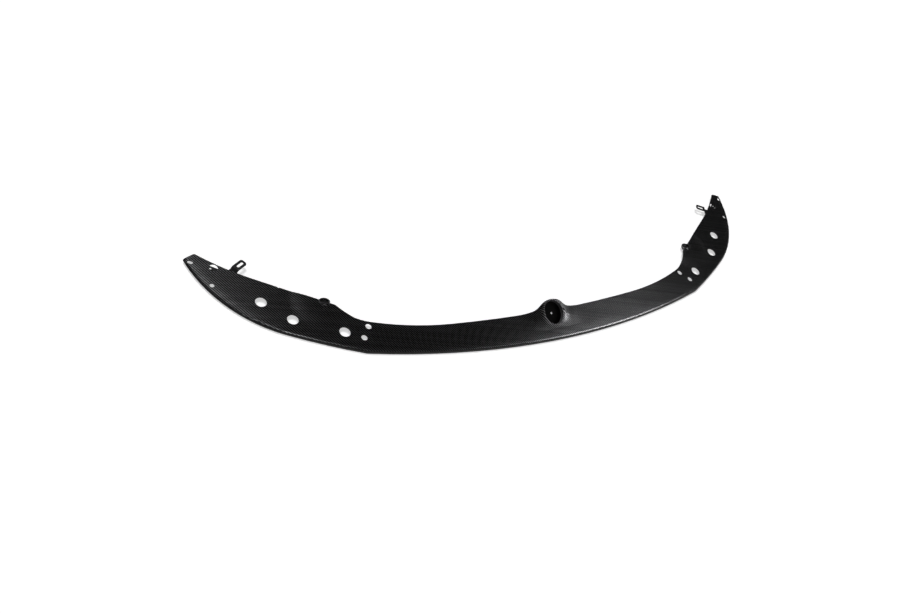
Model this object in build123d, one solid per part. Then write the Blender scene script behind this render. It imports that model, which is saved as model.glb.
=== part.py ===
"""Front splitter lip: a moulded carbon panel with a turned-down front rim, and a bonded strap at each tip.

X runs across the lip, Y rearward and Z up. Plan places are measured rearward from the middle of the front
edge and heights from the top of the flange; the finished pieces are then set down on the rim's lower edge.
"""
import os
from math import cos, radians, sin, sqrt, tan

from build123d import *

# Laminate, drooping front border and front rim; the rim's lower edge rises towards the tips
wall = 3.0
droop_width = 24.0
droop_depth = 2.0
rim_depth = 13.0
rim_round = 6.0
tip_rim_depth = 6.0
rim_rise_start = 40.0

# Front edge, from its middle outward: radius and turn of each tangent arc
bow_radius = 2270.0
bow_turn = 13.5
corner_radius = 70.0
corner_turn = 9.7
run_radius = 1700.0
run_turn = 6.2
tip_radius = 340.7
tip_turn = 50.3

# Cut end of each wing
tip_end_width = 30.2
tip_end_angle = 160.7
tip_corner_round = 4.0

# Rear edge; the knee and the shoulder are placed from the end of the front bow
middle_depth = 83.3
rear_bow_reach = 300.0
rear_bow_rise = 12.7
knee_place = (-30.0, 76.3)
shoulder_place = (40.0, 135.3)
shoulder_round = 12.0
rear_run_angle = 32.7
rear_run_length = 202.0
nick_distance = 136.7
nick_diameter = 4.0

# Middle hump: a ramp with soft flanks, and how far along it each of its slices stands
hump_angle = 21.8
hump_half_width = 100.0
hump_flank_share = 0.88
hump_top_half = 4.0
hump_foot_soft = 7.0
hump_border = 6.0
hump_gap = 4.0
hump_toe_height = 0.02
hump_slice_shares = (0.16, 0.35, 0.55, 0.78, 1.0)
hump_nose_radius = 70.0
hump_nose_blend = 40.0

# Oval screw pocket, sunk square to the hump's ramp
pocket_center = 68.0
pocket_height = 14.0
pocket_width = 57.0
pocket_length = 63.0
pocket_depth = 11.0
pocket_floor_round = 3.0
pocket_rim = 3.5
screw_hole_diameter = 6.5

# Locating boss on the rear edge beside each shoulder, its face leaning back, on a low swelling of the flange
boss_distance = 27.5
boss_radius = 13.6
boss_face_height = 6.0
boss_lean = 22.0
boss_rim_width = 3.5
boss_recess_depth = 3.5
boss_rim_bevel = 0.8
swell_radius = 85.0
swell_pad_radius = 30.0
swell_height = 4.5
swell_flank_share = 0.2

# Fixing holes, placed from the end of the front bow
large_hole_diameter = 27.0
large_hole_places = ((42.9, 61.9), (152.0, 117.0), (208.2, 176.3))
small_hole_diameter = 15.5
small_hole_places = ((2.4, 38.3), (-19.6, 65.8))

# Fixing holes, placed from the outer corner of the tip
access_hole_diameter = 21.0
access_hole_place = (-59.5, -35.0)
liner_hole_diameter = 11.0
liner_hole_place = (-42.0, -81.9)
tip_slot_length = 13.0
tip_slot_width = 8.5
tip_slot_angle = 30.0
tip_slot_place = (-13.0, -11.4)

# End bracket: a strap under the flange with a tongue that steps up behind the rear edge
strap_thickness = 2.0
leg_setback = 6.3
leg_width = 13.0
leg_reach = 64.0
leg_corner_round = 3.0
leg_hole_diameter = 5.5
leg_hole_end = 17.5
tongue_root_distance = 93.1
tongue_lean = 23.0
tongue_width = 18.5
tongue_reach = 40.5
tongue_end_round = 6.0
tongue_rise = 7.0
step_start = 5.0
step_length = 6.0
step_round = 2.0
tongue_slot_length = 20.0
tongue_slot_width = 6.5

# How far every cutter runs past the laminate
cut_reach = 60.0


def heading(angle):
    """Unit vector in plan, turned from +X towards +Y."""
    return Vector(cos(radians(angle)), sin(radians(angle)))


front_turns = (
    (bow_radius, bow_turn),
    (corner_radius, corner_turn),
    (run_radius, run_turn),
    (tip_radius, tip_turn),
)


def front_arcs(inset=0.0):
    """Tangent arcs of the right half of the front edge, moved inward by inset."""
    start, way = Vector(0, inset), Vector(1, 0)
    arcs = []
    for radius, turn in front_turns:
        arc = JernArc(start, way, radius - inset, turn)
        arcs.append(arc)
        start, way = arc @ 1, arc % 1
    return arcs


bow_end = front_arcs()[0] @ 1
tip_outer = front_arcs()[-1] @ 1
tip_inner = tip_outer + heading(tip_end_angle) * tip_end_width
shoulder = bow_end + Vector(*shoulder_place)
boss_center = shoulder + heading(rear_run_angle) * boss_distance
nick_center = shoulder + heading(rear_run_angle) * nick_distance
overall_depth = tip_inner.Y
overall_width = 2 * tip_outer.X
ramp_slope = tan(radians(hump_angle))
hump_rear = pocket_center + (pocket_length / 2 + pocket_rim) * cos(radians(hump_angle))
hump_front = droop_width + hump_gap
boss_plane = Plane(boss_center + Vector(0, 0, boss_face_height)).rotated((-boss_lean, 0, 0))
pocket_plane = Plane((0, pocket_center, pocket_height), x_dir=(1, 0, 0)).rotated((hump_angle, 0, 0))


def mirror_pair(right):
    """A shape of the right half together with its mirror image."""
    return right + mirror(right, about=Plane.YZ)


def rear_lines():
    """Right half of the rear edge, from its middle to the inner corner of the tip."""
    middle = Vector(0, middle_depth)
    bow = TangentArc(middle, middle + Vector(rear_bow_reach, rear_bow_rise), tangent=(1, 0))
    knee = TangentArc(bow @ 1, bow_end + Vector(*knee_place), tangent=bow % 1)
    flank = TangentArc(knee @ 1, shoulder, tangent=knee % 1)
    run = Line(shoulder, shoulder + heading(rear_run_angle) * rear_run_length)
    sweep = TangentArc(run @ 1, tip_inner, tangent=run % 1)
    return [bow, knee, flank, run, sweep]


def closed_face(half_lines):
    """Face inside a chain of lines from the middle plane back to it, and the chain's mirror image."""
    return make_face(mirror_pair(Curve() + half_lines))


def corners(face, place, radius, band=0.01):
    """Corners of a face that lie at a radius from a place, on either side of the lip."""
    off = [(v, Vector(abs(v.X), v.Y) - place) for v in face.vertices()]
    return [v for v, gap in off if abs(gap.length - radius) < band]


def trim_plan():
    """Plan that trims the tips and the rear edge with the hump's nose, and runs on past the front edge."""
    past_front = front_arcs(-cut_reach)
    tip_end = Polyline(past_front[-1] @ 1, tip_outer, tip_inner)
    face = closed_face(past_front + [tip_end] + rear_lines())
    face = fillet(corners(face, tip_inner, 0), tip_corner_round)
    face = fillet(corners(face, shoulder, 0), shoulder_round)
    nose_center = Vector(0, hump_rear - hump_nose_radius)
    rear_half = Rectangle(2 * hump_nose_radius, overall_depth, align=(Align.CENTER, Align.MIN))
    face += (Pos(nose_center) * Circle(hump_nose_radius)) & (Pos(0, middle_depth / 2) * rear_half)
    return fillet(corners(face, nose_center, hump_nose_radius), hump_nose_blend)


def flat_plan():
    """Plan of everything behind the drooping border, running on past the tips and the rear edge."""
    arcs = front_arcs(droop_width)
    past_tip = arcs[-1] @ 1 + (arcs[-1] % 1) * overall_depth
    return closed_face(arcs + [Polyline(arcs[-1] @ 1, past_tip, Vector(0, past_tip.Y))])


def border_section(inset):
    """Upright section of the front border, set in by inset: it droops from the flange to a rounded edge."""
    radius = (droop_width**2 + droop_depth**2) / (2 * droop_depth)
    level = Vector(droop_width, -inset)
    edge = Vector(inset, sqrt((radius - inset) ** 2 - (droop_width - inset) ** 2) - radius)
    low = Vector(0, -2 * rim_depth)
    front, rear = low + Vector(inset, 0), low + Vector(droop_width, 0)
    droop = TangentArc(level, edge, tangent=(-1, 0))
    section = make_face(Curve() + [droop, Polyline(edge, front, rear, level)])
    return fillet(corners(section, edge, 0), rim_round - inset)


def border(inset):
    """Front border of the right half: its section carried round each front arc and on past the tip."""
    section = border_section(inset)
    lengths = []
    for arc, (_, turn) in zip(front_arcs(), front_turns):
        across = Plane(arc @ 0, x_dir=arc.arc_center - arc @ 0, z_dir=arc % 0)
        lengths.append(revolve(across * section, Axis(arc.arc_center, (0, 0, 1)), turn))
    past_tip = Plane(arc @ 1, x_dir=arc.arc_center - arc @ 1, z_dir=arc % 1)
    return Part() + lengths + extrude(past_tip * section, tip_end_width)


def slab(inset):
    """Solid under the panel's surface set in by inset, before its rear edge and tips are cut."""
    flat = Pos(0, 0, -2 * rim_depth) * extrude(flat_plan(), 2 * rim_depth - inset)
    return flat + mirror_pair(border(inset))


def ogee(foot, rim, share):
    """Two arcs in an upright plane: a hollow from the level foot over a share of the climb, then a crown."""
    hollow = TangentArc(foot, foot + (rim - foot) * share, tangent=(-1, 0, 0))
    return [hollow, TangentArc(hollow @ 1, rim, tangent=hollow % 1)]


def skin(block):
    """Top layer of a block, one wall thick."""
    return block - Pos(0, 0, -wall) * block


def hump_slice(y, height):
    """Upright slice of the hump: a flat top between two ogee flanks that run out level with the flange."""
    end_radius = pocket_width / 2 + pocket_rim
    straight = (pocket_length - pocket_width) / 2
    off_middle = max(0.0, abs(y - pocket_center) / cos(radians(hump_angle)) - straight)
    top_half = sqrt(max(end_radius**2 - off_middle**2, hump_top_half**2))
    foot, rim = Vector(hump_half_width, y, 0), Vector(top_half, y, height)
    brim = foot + Vector(hump_border, 0, 0)
    base = brim - Vector(0, 0, 2 * rim_depth)
    sides = [Line(Vector(0, y, base.Z), base), Line(base, brim), Line(brim, foot)]
    return closed_face(sides + ogee(foot, rim, hump_flank_share) + [Line(rim, Vector(0, y, height))])


def hump_block():
    """Solid under the hump's surface: a ramp with a soft foot, from behind the front rim to past the nose."""
    foot = pocket_center - pocket_height / ramp_slope
    length = hump_rear + hump_border - hump_front
    slices = [hump_slice(hump_front, hump_toe_height)]
    for share in hump_slice_shares:
        y = hump_front + length * share
        climb = y - foot
        slices.append(hump_slice(y, ramp_slope * (climb + sqrt(climb**2 + hump_foot_soft**2)) / 2))
    return loft(slices)


def pocket_plug(grow, depth):
    """Oval plug square to the ramp, from above it down to a depth below it."""
    oval = SlotOverall(pocket_length + 2 * grow, pocket_width + 2 * grow, rotation=90)
    return extrude(pocket_plane.offset(-depth) * oval, depth + cut_reach)


def hump():
    """Skin of the hump with the oval pocket's cup hanging in it."""
    block = hump_block()
    cup = pocket_plug(wall, pocket_depth + wall) & block
    hollow = pocket_plug(0, pocket_depth)
    floor = hollow.faces().sort_by(Axis(pocket_plane.origin, pocket_plane.z_dir))[0]
    hollow = fillet(floor.edges(), pocket_floor_round)
    drill = pocket_plane * Cylinder(screw_hole_diameter / 2, cut_reach)
    return skin(block) + cup - hollow - drill


def swell_block():
    """Solid under the low round swelling that carries a boss, turned about the boss's axis."""
    foot, pad = Vector(swell_radius, 0, 0), Vector(swell_pad_radius, 0, swell_height)
    base = Vector(0, 0, -2 * rim_depth)
    middle = Vector(0, 0, swell_height)
    sides = [Line(pad, middle), Line(middle, base), Line(base, base + foot), Line(base + foot, foot)]
    return Pos(boss_center) * revolve(make_face(Curve() + ogee(foot, pad, swell_flank_share) + sides), Axis.Z)


def boss_post(reach):
    """Round bar leaning back where a boss stands, from the flange's underside to past the boss's face."""
    bar = Cylinder(boss_radius, cut_reach + reach, align=(Align.CENTER, Align.CENTER, Align.MAX))
    underside = Plane(boss_center + Vector(0, 0, -wall))
    return split(boss_plane.offset(reach) * bar, bisect_by=underside, keep=Keep.TOP)


def boss():
    """Round post with its face leaning back, and a closed recess sunk square to that face."""
    post = boss_post(0)
    rim = post.faces().sort_by(Axis(boss_plane.origin, boss_plane.z_dir))[-1]
    recess = Cylinder(boss_radius - boss_rim_width, cut_reach, align=(Align.CENTER, Align.CENTER, Align.MIN))
    return chamfer(rim.edges(), boss_rim_bevel) - boss_plane.offset(-boss_recess_depth) * recess


def holes():
    """Upright cutters for every fixing hole of the right wing."""
    round_holes = [(bow_end + Vector(*place), large_hole_diameter) for place in large_hole_places]
    round_holes += [(bow_end + Vector(*place), small_hole_diameter) for place in small_hole_places]
    round_holes += [
        (tip_outer + Vector(*access_hole_place), access_hole_diameter),
        (tip_outer + Vector(*liner_hole_place), liner_hole_diameter),
        (nick_center, nick_diameter),
    ]
    cutters = [Pos(place) * Cylinder(diameter / 2, cut_reach) for place, diameter in round_holes]
    slot = SlotOverall(tip_slot_length, tip_slot_width, rotation=tip_slot_angle)
    cutters.append(Pos(tip_outer + Vector(*tip_slot_place)) * extrude(slot, cut_reach, both=True))
    return cutters


def rim_rise():
    """Wedge under the wings that lifts the rim's lower edge towards the tips."""
    start, low = (rim_rise_start, -rim_depth), (overall_depth, -rim_depth)
    wedge = make_face(Polyline(start, low, (overall_depth, -tip_rim_depth), close=True))
    return extrude(Plane.YZ * wedge, overall_width, both=True)


def lip_panel():
    """The whole moulding: flange, front rim, hump, swellings with their bosses, and holes."""
    shell = slab(0) - slab(wall)
    hump_width = 2 * (hump_half_width + hump_border)
    behind_rim = (Align.CENTER, Align.MIN, Align.CENTER)
    shell -= Pos(0, hump_front) * Box(hump_width, overall_depth, 4 * wall, align=behind_rim)
    shell -= mirror_pair(Pos(boss_center) * Cylinder(swell_radius, 4 * wall))
    shell += hump()
    shell += mirror_pair(skin(swell_block()))
    shell &= Pos(0, 0, -rim_depth) * extrude(trim_plan(), rim_depth + cut_reach)
    shell -= mirror_pair(boss_post(cut_reach))
    shell += mirror_pair(boss())
    shell -= rim_rise()
    for cutter in holes():
        shell -= mirror_pair(cutter)
    return shell


def end_bracket():
    """Right strap: a leg flat against the flange's underside and a tongue stepping up behind it."""
    edge = rear_lines()[-1]
    share = 1 - tongue_root_distance / edge.length
    root, along = edge @ share, edge % share
    leg_middle = -leg_setback - leg_width / 2
    leg_length = leg_reach + tongue_width / 2
    leg_box = Box(leg_length, leg_width, strap_thickness, align=(Align.MAX, Align.CENTER, Align.MIN))
    leg = Pos(leg_reach, leg_middle) * leg_box
    leg = fillet(leg.edges().filter_by(Axis.Z), leg_corner_round)
    leg -= Pos(leg_reach - leg_hole_end, leg_middle) * Cylinder(leg_hole_diameter / 2, cut_reach)

    way = Vector(along).rotate(Axis.Z, 90 + tongue_lean)
    side = Plane(root, x_dir=way, z_dir=way.cross(Vector(0, 0, 1)))
    low = strap_thickness / 2
    high = low + tongue_rise
    step_end = step_start + step_length
    start = leg_middle / cos(radians(tongue_lean))
    path = FilletPolyline(
        (start, low), (step_start, low), (step_end, high), (tongue_reach, high), radius=step_round)
    tongue = extrude(side * trace(path, strap_thickness), tongue_width / 2, both=True)
    tongue = fillet(tongue.edges().filter_by(Axis.Z).sort_by(Axis(root, way))[-2:], tongue_end_round)
    slot = extrude(SlotOverall(tongue_slot_length, tongue_slot_width), cut_reach, both=True)
    slot_middle = (step_end + tongue_reach) / 2
    tongue -= Plane(root, x_dir=way, z_dir=(0, 0, 1)) * Pos(slot_middle, 0) * slot
    strap = Plane(root, x_dir=along, z_dir=(0, 0, 1)) * leg + tongue
    return Pos(0, 0, -wall - strap_thickness) * strap


panel = lip_panel()
set_down = Pos(0, -panel.bounding_box().center().Y, rim_depth)
bracket = set_down * end_bracket()
pieces = {
    "lip_panel": set_down * panel,
    "right_end_bracket": bracket,
    "left_end_bracket": mirror(bracket, about=Plane.YZ),
}
os.makedirs("parts", exist_ok=True)
for name, piece in pieces.items():
    export_step(piece, f"parts/{name}.step")
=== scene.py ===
from math import cos, radians, sin

import bmesh
import bpy
from mathutils import Euler, Matrix, Vector


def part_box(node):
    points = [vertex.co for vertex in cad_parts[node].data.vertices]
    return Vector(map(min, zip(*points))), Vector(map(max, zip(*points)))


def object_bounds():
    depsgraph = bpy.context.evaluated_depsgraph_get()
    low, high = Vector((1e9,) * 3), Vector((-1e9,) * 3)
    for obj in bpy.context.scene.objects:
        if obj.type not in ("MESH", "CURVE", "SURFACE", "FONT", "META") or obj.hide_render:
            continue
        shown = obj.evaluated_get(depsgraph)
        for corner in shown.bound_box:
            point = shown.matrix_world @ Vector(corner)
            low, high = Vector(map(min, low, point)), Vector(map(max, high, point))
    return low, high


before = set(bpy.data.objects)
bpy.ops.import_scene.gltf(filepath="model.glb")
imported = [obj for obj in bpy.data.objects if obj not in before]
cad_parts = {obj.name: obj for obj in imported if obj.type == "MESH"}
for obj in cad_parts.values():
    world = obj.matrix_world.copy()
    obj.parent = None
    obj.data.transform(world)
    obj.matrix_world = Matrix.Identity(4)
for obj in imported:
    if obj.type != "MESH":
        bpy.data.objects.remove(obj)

cad_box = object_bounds()

# Lip panel: the whole splitter lip, one moulding of black 2x2 twill carbon cloth in resin.
# The face that was against the mould is clear-coated; the bag side below is bare resin,
# and the trimmed edges show the plies.
panel_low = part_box("lip_panel")[0]
laminate = 0.003
rim_depth = 0.013
flange_top = panel_low.z + rim_depth
flange_underside = flange_top - laminate
edge_slack = 0.0001
pocket_from_front = 0.068
pocket_height = 0.014
pocket_width = 0.057
pocket_length = 0.063
pocket_slack = 0.0002
pocket_lip = 0.0006
pocket_lean = radians(21.8)
tow_pitch = 0.00172
tow_crown = 0.00010
twill_repeat = 4
twill_float = 2
cloth_turn = radians(74)
ply_pitch = 0.0005
# The warp tows' light colour is a painted sheen; the weft's is the carbon's own near black.
warp_painted_sheen = (0.215, 0.215, 0.221, 1)
weft_black = (0.008, 0.008, 0.008, 1)
palest_tow = 1.25
darkest_tow = 0.75
edge_grey = (0.110, 0.110, 0.112, 1)
ply_black = (0.030, 0.030, 0.031, 1)
bag_black = (0.008, 0.008, 0.008, 1)
# Pocket floor colour is painted shade; pocket wall colour is painted light.
pocket_floor_painted_shade = (0.012, 0.012, 0.012, 1)
pocket_wall_painted_light = (0.090, 0.090, 0.092, 1)
gloss_roughness = 0.32
bare_roughness = 0.52
pocket_roughness = 0.92
coat_thickness = 0.08
coat_roughness = 0.03
coat_index = 1.5
resin_shine = 0.2
grazing_sheen = (0.6, 0.6, 0.6, 1)


class Wire:
    """One output in a node tree: arithmetic on it adds Math nodes, and node() adds any other kind."""

    def __init__(self, tree, socket=None):
        self.tree = tree
        self.socket = socket

    def node(self, kind, settings=None, sockets=None, output=0):
        made = self.tree.nodes.new(kind)
        for name, value in (settings or {}).items():
            setattr(made, name, value)
        for name, value in (sockets or {}).items():
            if isinstance(value, Wire):
                self.tree.links.new(value.socket, made.inputs[name])
            else:
                made.inputs[name].default_value = value
        return Wire(self.tree, made.outputs[output])

    def math(self, operation, first, second=0.0):
        return self.node("ShaderNodeMath", {"operation": operation}, {0: first, 1: second})

    def __add__(self, other):
        return self.math("ADD", self, other)

    def __radd__(self, other):
        return self.math("ADD", other, self)

    def __sub__(self, other):
        return self.math("SUBTRACT", self, other)

    def __rsub__(self, other):
        return self.math("SUBTRACT", other, self)

    def __mul__(self, other):
        return self.math("MULTIPLY", self, other)

    def __rmul__(self, other):
        return self.math("MULTIPLY", other, self)

    def __truediv__(self, other):
        return self.math("DIVIDE", self, other)

    def __mod__(self, other):
        return self.math("FLOORED_MODULO", self, other)

    def __lt__(self, other):
        return self.math("LESS_THAN", self, other)

    def __gt__(self, other):
        return self.math("GREATER_THAN", self, other)

    def __abs__(self):
        return self.math("ABSOLUTE", self)

    def floor(self):
        return self.math("FLOOR", self)

    def or_more(self, other):
        return self.math("MAXIMUM", self, other)

    def parts(self):
        split = self.node("ShaderNodeSeparateXYZ", sockets={0: self}).socket.node
        return [Wire(self.tree, out) for out in split.outputs]

    def tinted(self, tone):
        """This colour made lighter or darker by a value."""
        return self.node("ShaderNodeVectorMath", {"operation": "SCALE"}, {"Vector": self, "Scale": tone})

    def mix(self, low, high):
        """Colour that goes from low to high as this value goes from 0 to 1."""
        return self.node("ShaderNodeMix", {"data_type": "RGBA"}, {0: self, 6: low, 7: high}, output=2)


def new_material(name):
    """An empty material, and a first wire to build it on."""
    material = bpy.data.materials.new(name)
    material.use_nodes = True
    material.node_tree.nodes.clear()
    return material, Wire(material.node_tree)


def surface(start, **sockets):
    """Principled surface with these sockets, joined to the material's output."""
    named = {name.replace("_", " "): value for name, value in sockets.items()}
    shader = start.node("ShaderNodeBsdfPrincipled", sockets=named)
    end = start.tree.nodes.new("ShaderNodeOutputMaterial")
    start.tree.links.new(shader.socket, end.inputs["Surface"])


def dress(node, material):
    """Gives a carried-over solid its finish."""
    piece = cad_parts[node]
    piece.data.materials.clear()
    piece.data.materials.append(material)


def crown(position, width):
    """Height of a rounded ridge over its width, from 0 at the edges to 1 in the middle."""
    off = position * (2 / width) - 1
    return 1 - off * off


carbon, start = new_material("clear_coated_twill")
x, y, z = start.node("ShaderNodeTexCoord", output="Object").parts()
facing_x, facing_y, facing_z = start.node("ShaderNodeTexCoord", output="Normal").parts()

# The cloth is laid over the rim, so below the flange it runs on outward by as much as it drops
drop = flange_top - z
flat_x = x + facing_x * drop
flat_y = y + facing_y * drop
across = (flat_x * cos(cloth_turn) + flat_y * sin(cloth_turn)) / tow_pitch
along = (flat_y * cos(cloth_turn) - flat_x * sin(cloth_turn)) / tow_pitch
warp = across.floor()
weft = along.floor()
warp_on_top = ((warp - weft) % twill_repeat) < twill_float
warp_height = crown(across - warp, 1) * crown((along - warp + twill_float - 1) % twill_repeat, twill_float)
weft_height = crown(along - weft, 1) * crown((across - weft - twill_float) % twill_repeat, twill_float)
weave_height = warp_on_top * warp_height + (1 - warp_on_top) * weft_height

# Each tow has a tone of its own; weft tows take half numbers, so that none shares a warp tow's draw
tow = warp_on_top * warp + (1 - warp_on_top) * (weft + 0.5)
chance = start.node("ShaderNodeTexWhiteNoise", {"noise_dimensions": "1D"}, {"W": tow})
tow_tone = chance * (palest_tow - darkest_tow) + darkest_tow
# Warp tows are painted far lighter than weft tows: a painted sheen that stands in for the highlight the
# fibres throw in one direction.
weave_and_sheen_colour = warp_on_top.mix(weft_black, warp_painted_sheen).tinted(tow_tone)

# Trimmed edges stand upright within the flange, or face rearward above it; the bag side faces down
upright_limit = 0.12
rim_limit = 0.72
rearward_limit = 0.5
under_flange = z < flange_underside - edge_slack
upright = abs(facing_z) < upright_limit
in_flange = (z > flange_underside - edge_slack) * (z < flange_top + edge_slack)
rearward = (facing_y > rearward_limit) * (z > flange_top)
trimmed = upright * in_flange.or_more(rearward)
below = facing_z < -upright_limit
# The rim's front face below the flange is given the bag side's dark bare finish as painted shade.
shaded_rim_face = (abs(facing_z) < rim_limit) * (facing_y < rearward_limit) * under_flange
inside_rim = upright * (facing_y > 0) * under_flange

# The screw pocket is left matt: everything sunk below the ramp inside its oval. Its floor is painted near
# black as painted shade, and its walls a lighter grey as painted light.
pocket_wall_limit = 0.6
behind = y - (panel_low.y + pocket_from_front)
above = z - (flange_top + pocket_height)
up_ramp = behind * cos(pocket_lean) + above * sin(pocket_lean)
off_ramp = above * cos(pocket_lean) - behind * sin(pocket_lean)
past_straight = (abs(up_ramp) - (pocket_length - pocket_width) / 2).or_more(0.0)
pocket_reach = pocket_width / 2 + pocket_slack
in_pocket = (past_straight * past_straight + x * x < pocket_reach**2) * (off_ramp < -pocket_lip)
off_floor = abs(facing_z * cos(pocket_lean) - facing_y * sin(pocket_lean))
pocket_wall = in_pocket * (off_floor < pocket_wall_limit)
pocket_floor = in_pocket - pocket_wall

bag_side = below.or_more(inside_rim).or_more(in_pocket)
bare = trimmed.or_more(bag_side).or_more(shaded_rim_face)
ply = abs((z / ply_pitch) % 2 - 1)
edge_colour = ply.mix(ply_black, edge_grey)
# The bag side and the rim's front face take the dark bare colour; on the rim's front face it is painted
# shade.
colour = bag_side.or_more(shaded_rim_face).mix(trimmed.mix(weave_and_sheen_colour, edge_colour), bag_black)
# Painted shade and light in the pocket: the floor is painted near black, the walls a lighter grey.
colour = pocket_wall.mix(pocket_floor.mix(colour, pocket_floor_painted_shade), pocket_wall_painted_light)
matt = bare * (bare_roughness - gloss_roughness) + in_pocket * (pocket_roughness - bare_roughness)
bump = start.node("ShaderNodeBump", sockets={"Height": weave_height, "Distance": tow_crown, "Strength": 1.0})
# The pocket floor is made metallic with its near-black colour so that it reflects almost nothing: painted
# shade.
surface(
    start, Base_Color=colour, Metallic=1 - bare + pocket_floor, Roughness=matt + gloss_roughness, Normal=bump,
    Coat_Weight=coat_thickness - bare * coat_thickness, Coat_Roughness=coat_roughness, Coat_IOR=coat_index,
    Specular_IOR_Level=resin_shine, Specular_Tint=grazing_sheen)
dress("lip_panel", carbon)

# End brackets: two bent steel straps bonded under the tips, each with a slotted tongue behind the edge.
# They are painted satin black.
paint_black = (0.016, 0.016, 0.017, 1)
grain_scale = 900.0
grain_depth = 0.00004
smoothest_paint = 0.3
paint_unevenness = 0.2
paint, start = new_material("satin_black_paint")
place = start.node("ShaderNodeTexCoord", output="Object")
grain = start.node("ShaderNodeTexNoise", sockets={"Vector": place, "Scale": grain_scale})
bump = start.node("ShaderNodeBump", sockets={"Height": grain, "Distance": grain_depth, "Strength": 1.0})
surface(start, Base_Color=paint_black, Roughness=grain * paint_unevenness + smoothest_paint, Normal=bump)
for node in ("right_end_bracket", "left_end_bracket"):
    dress(node, paint)

# Floor: a wide plain white studio table under the lip, lit from below so that shadows stay faint.
# It is a single sheet at the level of the lip's lowest edge.
floor_size = 400.0
floor_white = (0.80, 0.80, 0.80, 1)
floor_glow = 0.58
sheet = bmesh.new()
bmesh.ops.create_grid(sheet, x_segments=1, y_segments=1, size=floor_size / 2)
bmesh.ops.translate(sheet, verts=sheet.verts, vec=(0, 0, cad_box[0][2]))
floor_mesh = bpy.data.meshes.new("floor")
sheet.to_mesh(floor_mesh)
sheet.free()
floor = bpy.data.objects.new("floor", floor_mesh)
bpy.context.scene.collection.objects.link(floor)
paper, start = new_material("pale_paper")
surface(
    start, Base_Color=floor_white, Roughness=0.9, Specular_IOR_Level=0.1, Emission_Color=(1, 1, 1, 1),
    Emission_Strength=floor_glow)
floor_mesh.materials.append(paper)

# Studio light: five soft boxes round the lip, a high soft light for the table, and a surround that is dim
# overhead and white at the horizon. The boxes show in the lip's own sheen and leave the table alone;
# the high light does the opposite.
dim_overhead = 0.05
white_horizon = 1.05
white_below = 0.04
dim_above = 0.15
table_light = 1.8
table_light_width = radians(20)
studio = bpy.data.worlds.new("studio")
studio.use_nodes = True
studio.node_tree.nodes.clear()
start = Wire(studio.node_tree)
height = start.node("ShaderNodeTexCoord", output="Generated").parts()[2]
surround = start.node(
    "ShaderNodeMapRange", {"interpolation_type": "SMOOTHSTEP"},
    {"Value": height, "From Min": dim_above, "From Max": white_below,
     "To Min": dim_overhead, "To Max": white_horizon})
backdrop = start.node("ShaderNodeBackground", sockets={"Color": (1, 1, 1, 1), "Strength": surround})
end = studio.node_tree.nodes.new("ShaderNodeOutputWorld")
studio.node_tree.links.new(backdrop.socket, end.inputs["Surface"])
bpy.context.scene.world = studio
bpy.context.scene.view_settings.view_transform = "Standard"


def stand(name, light, place, aim):
    """Stands a light at a place, facing what it is aimed at."""
    lamp = bpy.data.objects.new(name, light)
    lamp.location = place
    lamp.rotation_euler = (Vector(place) - Vector(aim)).to_track_quat("Z", "Y").to_euler()
    bpy.context.scene.collection.objects.link(lamp)
    return lamp


soft_boxes = [
    ("rear_left_box", (-0.82, 0.39, 0.64), (-0.80, 0.06, 0.01), (0.30, 0.30), 0.32),
    ("left_sheet", (-0.78, 0.52, 0.64), (-0.78, 0.51, 0.01), (0.60, 0.75), 0.20),
    ("right_box", (0.69, 0.02, 0.66), (0.20, -0.15, 0.01), (0.24, 0.24), 0.38),
    ("front_right_box", (0.57, -0.45, 0.35), (0.17, -0.19, 0.01), (0.52, 0.24), 4.0),
    ("front_left_box", (-0.92, -0.39, 0.44), (-0.73, -0.02, 0.01), (0.37, 0.30), 1.40),
]
for name, place, aim, (wide, tall), watts in soft_boxes:
    light = bpy.data.lights.new(name, "AREA")
    light.shape = "ELLIPSE"
    light.size = wide
    light.size_y = tall
    light.energy = watts
    lamp = stand(name, light, place, aim)
    lamp.visible_camera = False
    lamp.visible_diffuse = False
light = bpy.data.lights.new("high_light", "SUN")
light.energy = table_light
light.angle = table_light_width
stand("high_light", light, (-0.07, 0.37, 0.93), (0, 0, 0)).visible_glossy = False

# Camera: above the left wing and in front of it, tilted and turned as the lip is seen.
# Its lens spans the photograph's width at the photograph's own angle.
photo_width = 920
focal_pixels = 950
eye = Vector((-1.506, -1.0716, 1.732))
camera_turn = Euler([radians(angle) for angle in (38.421, -21.531, -26.248)])
lens = bpy.data.cameras.new("camera")
lens.sensor_width = 36
lens.lens = lens.sensor_width * focal_pixels / photo_width
camera = bpy.data.objects.new("camera", lens)
bpy.context.scene.collection.objects.link(camera)
camera.matrix_world = Matrix.LocRotScale(eye, camera_turn, None)
bpy.context.scene.camera = camera
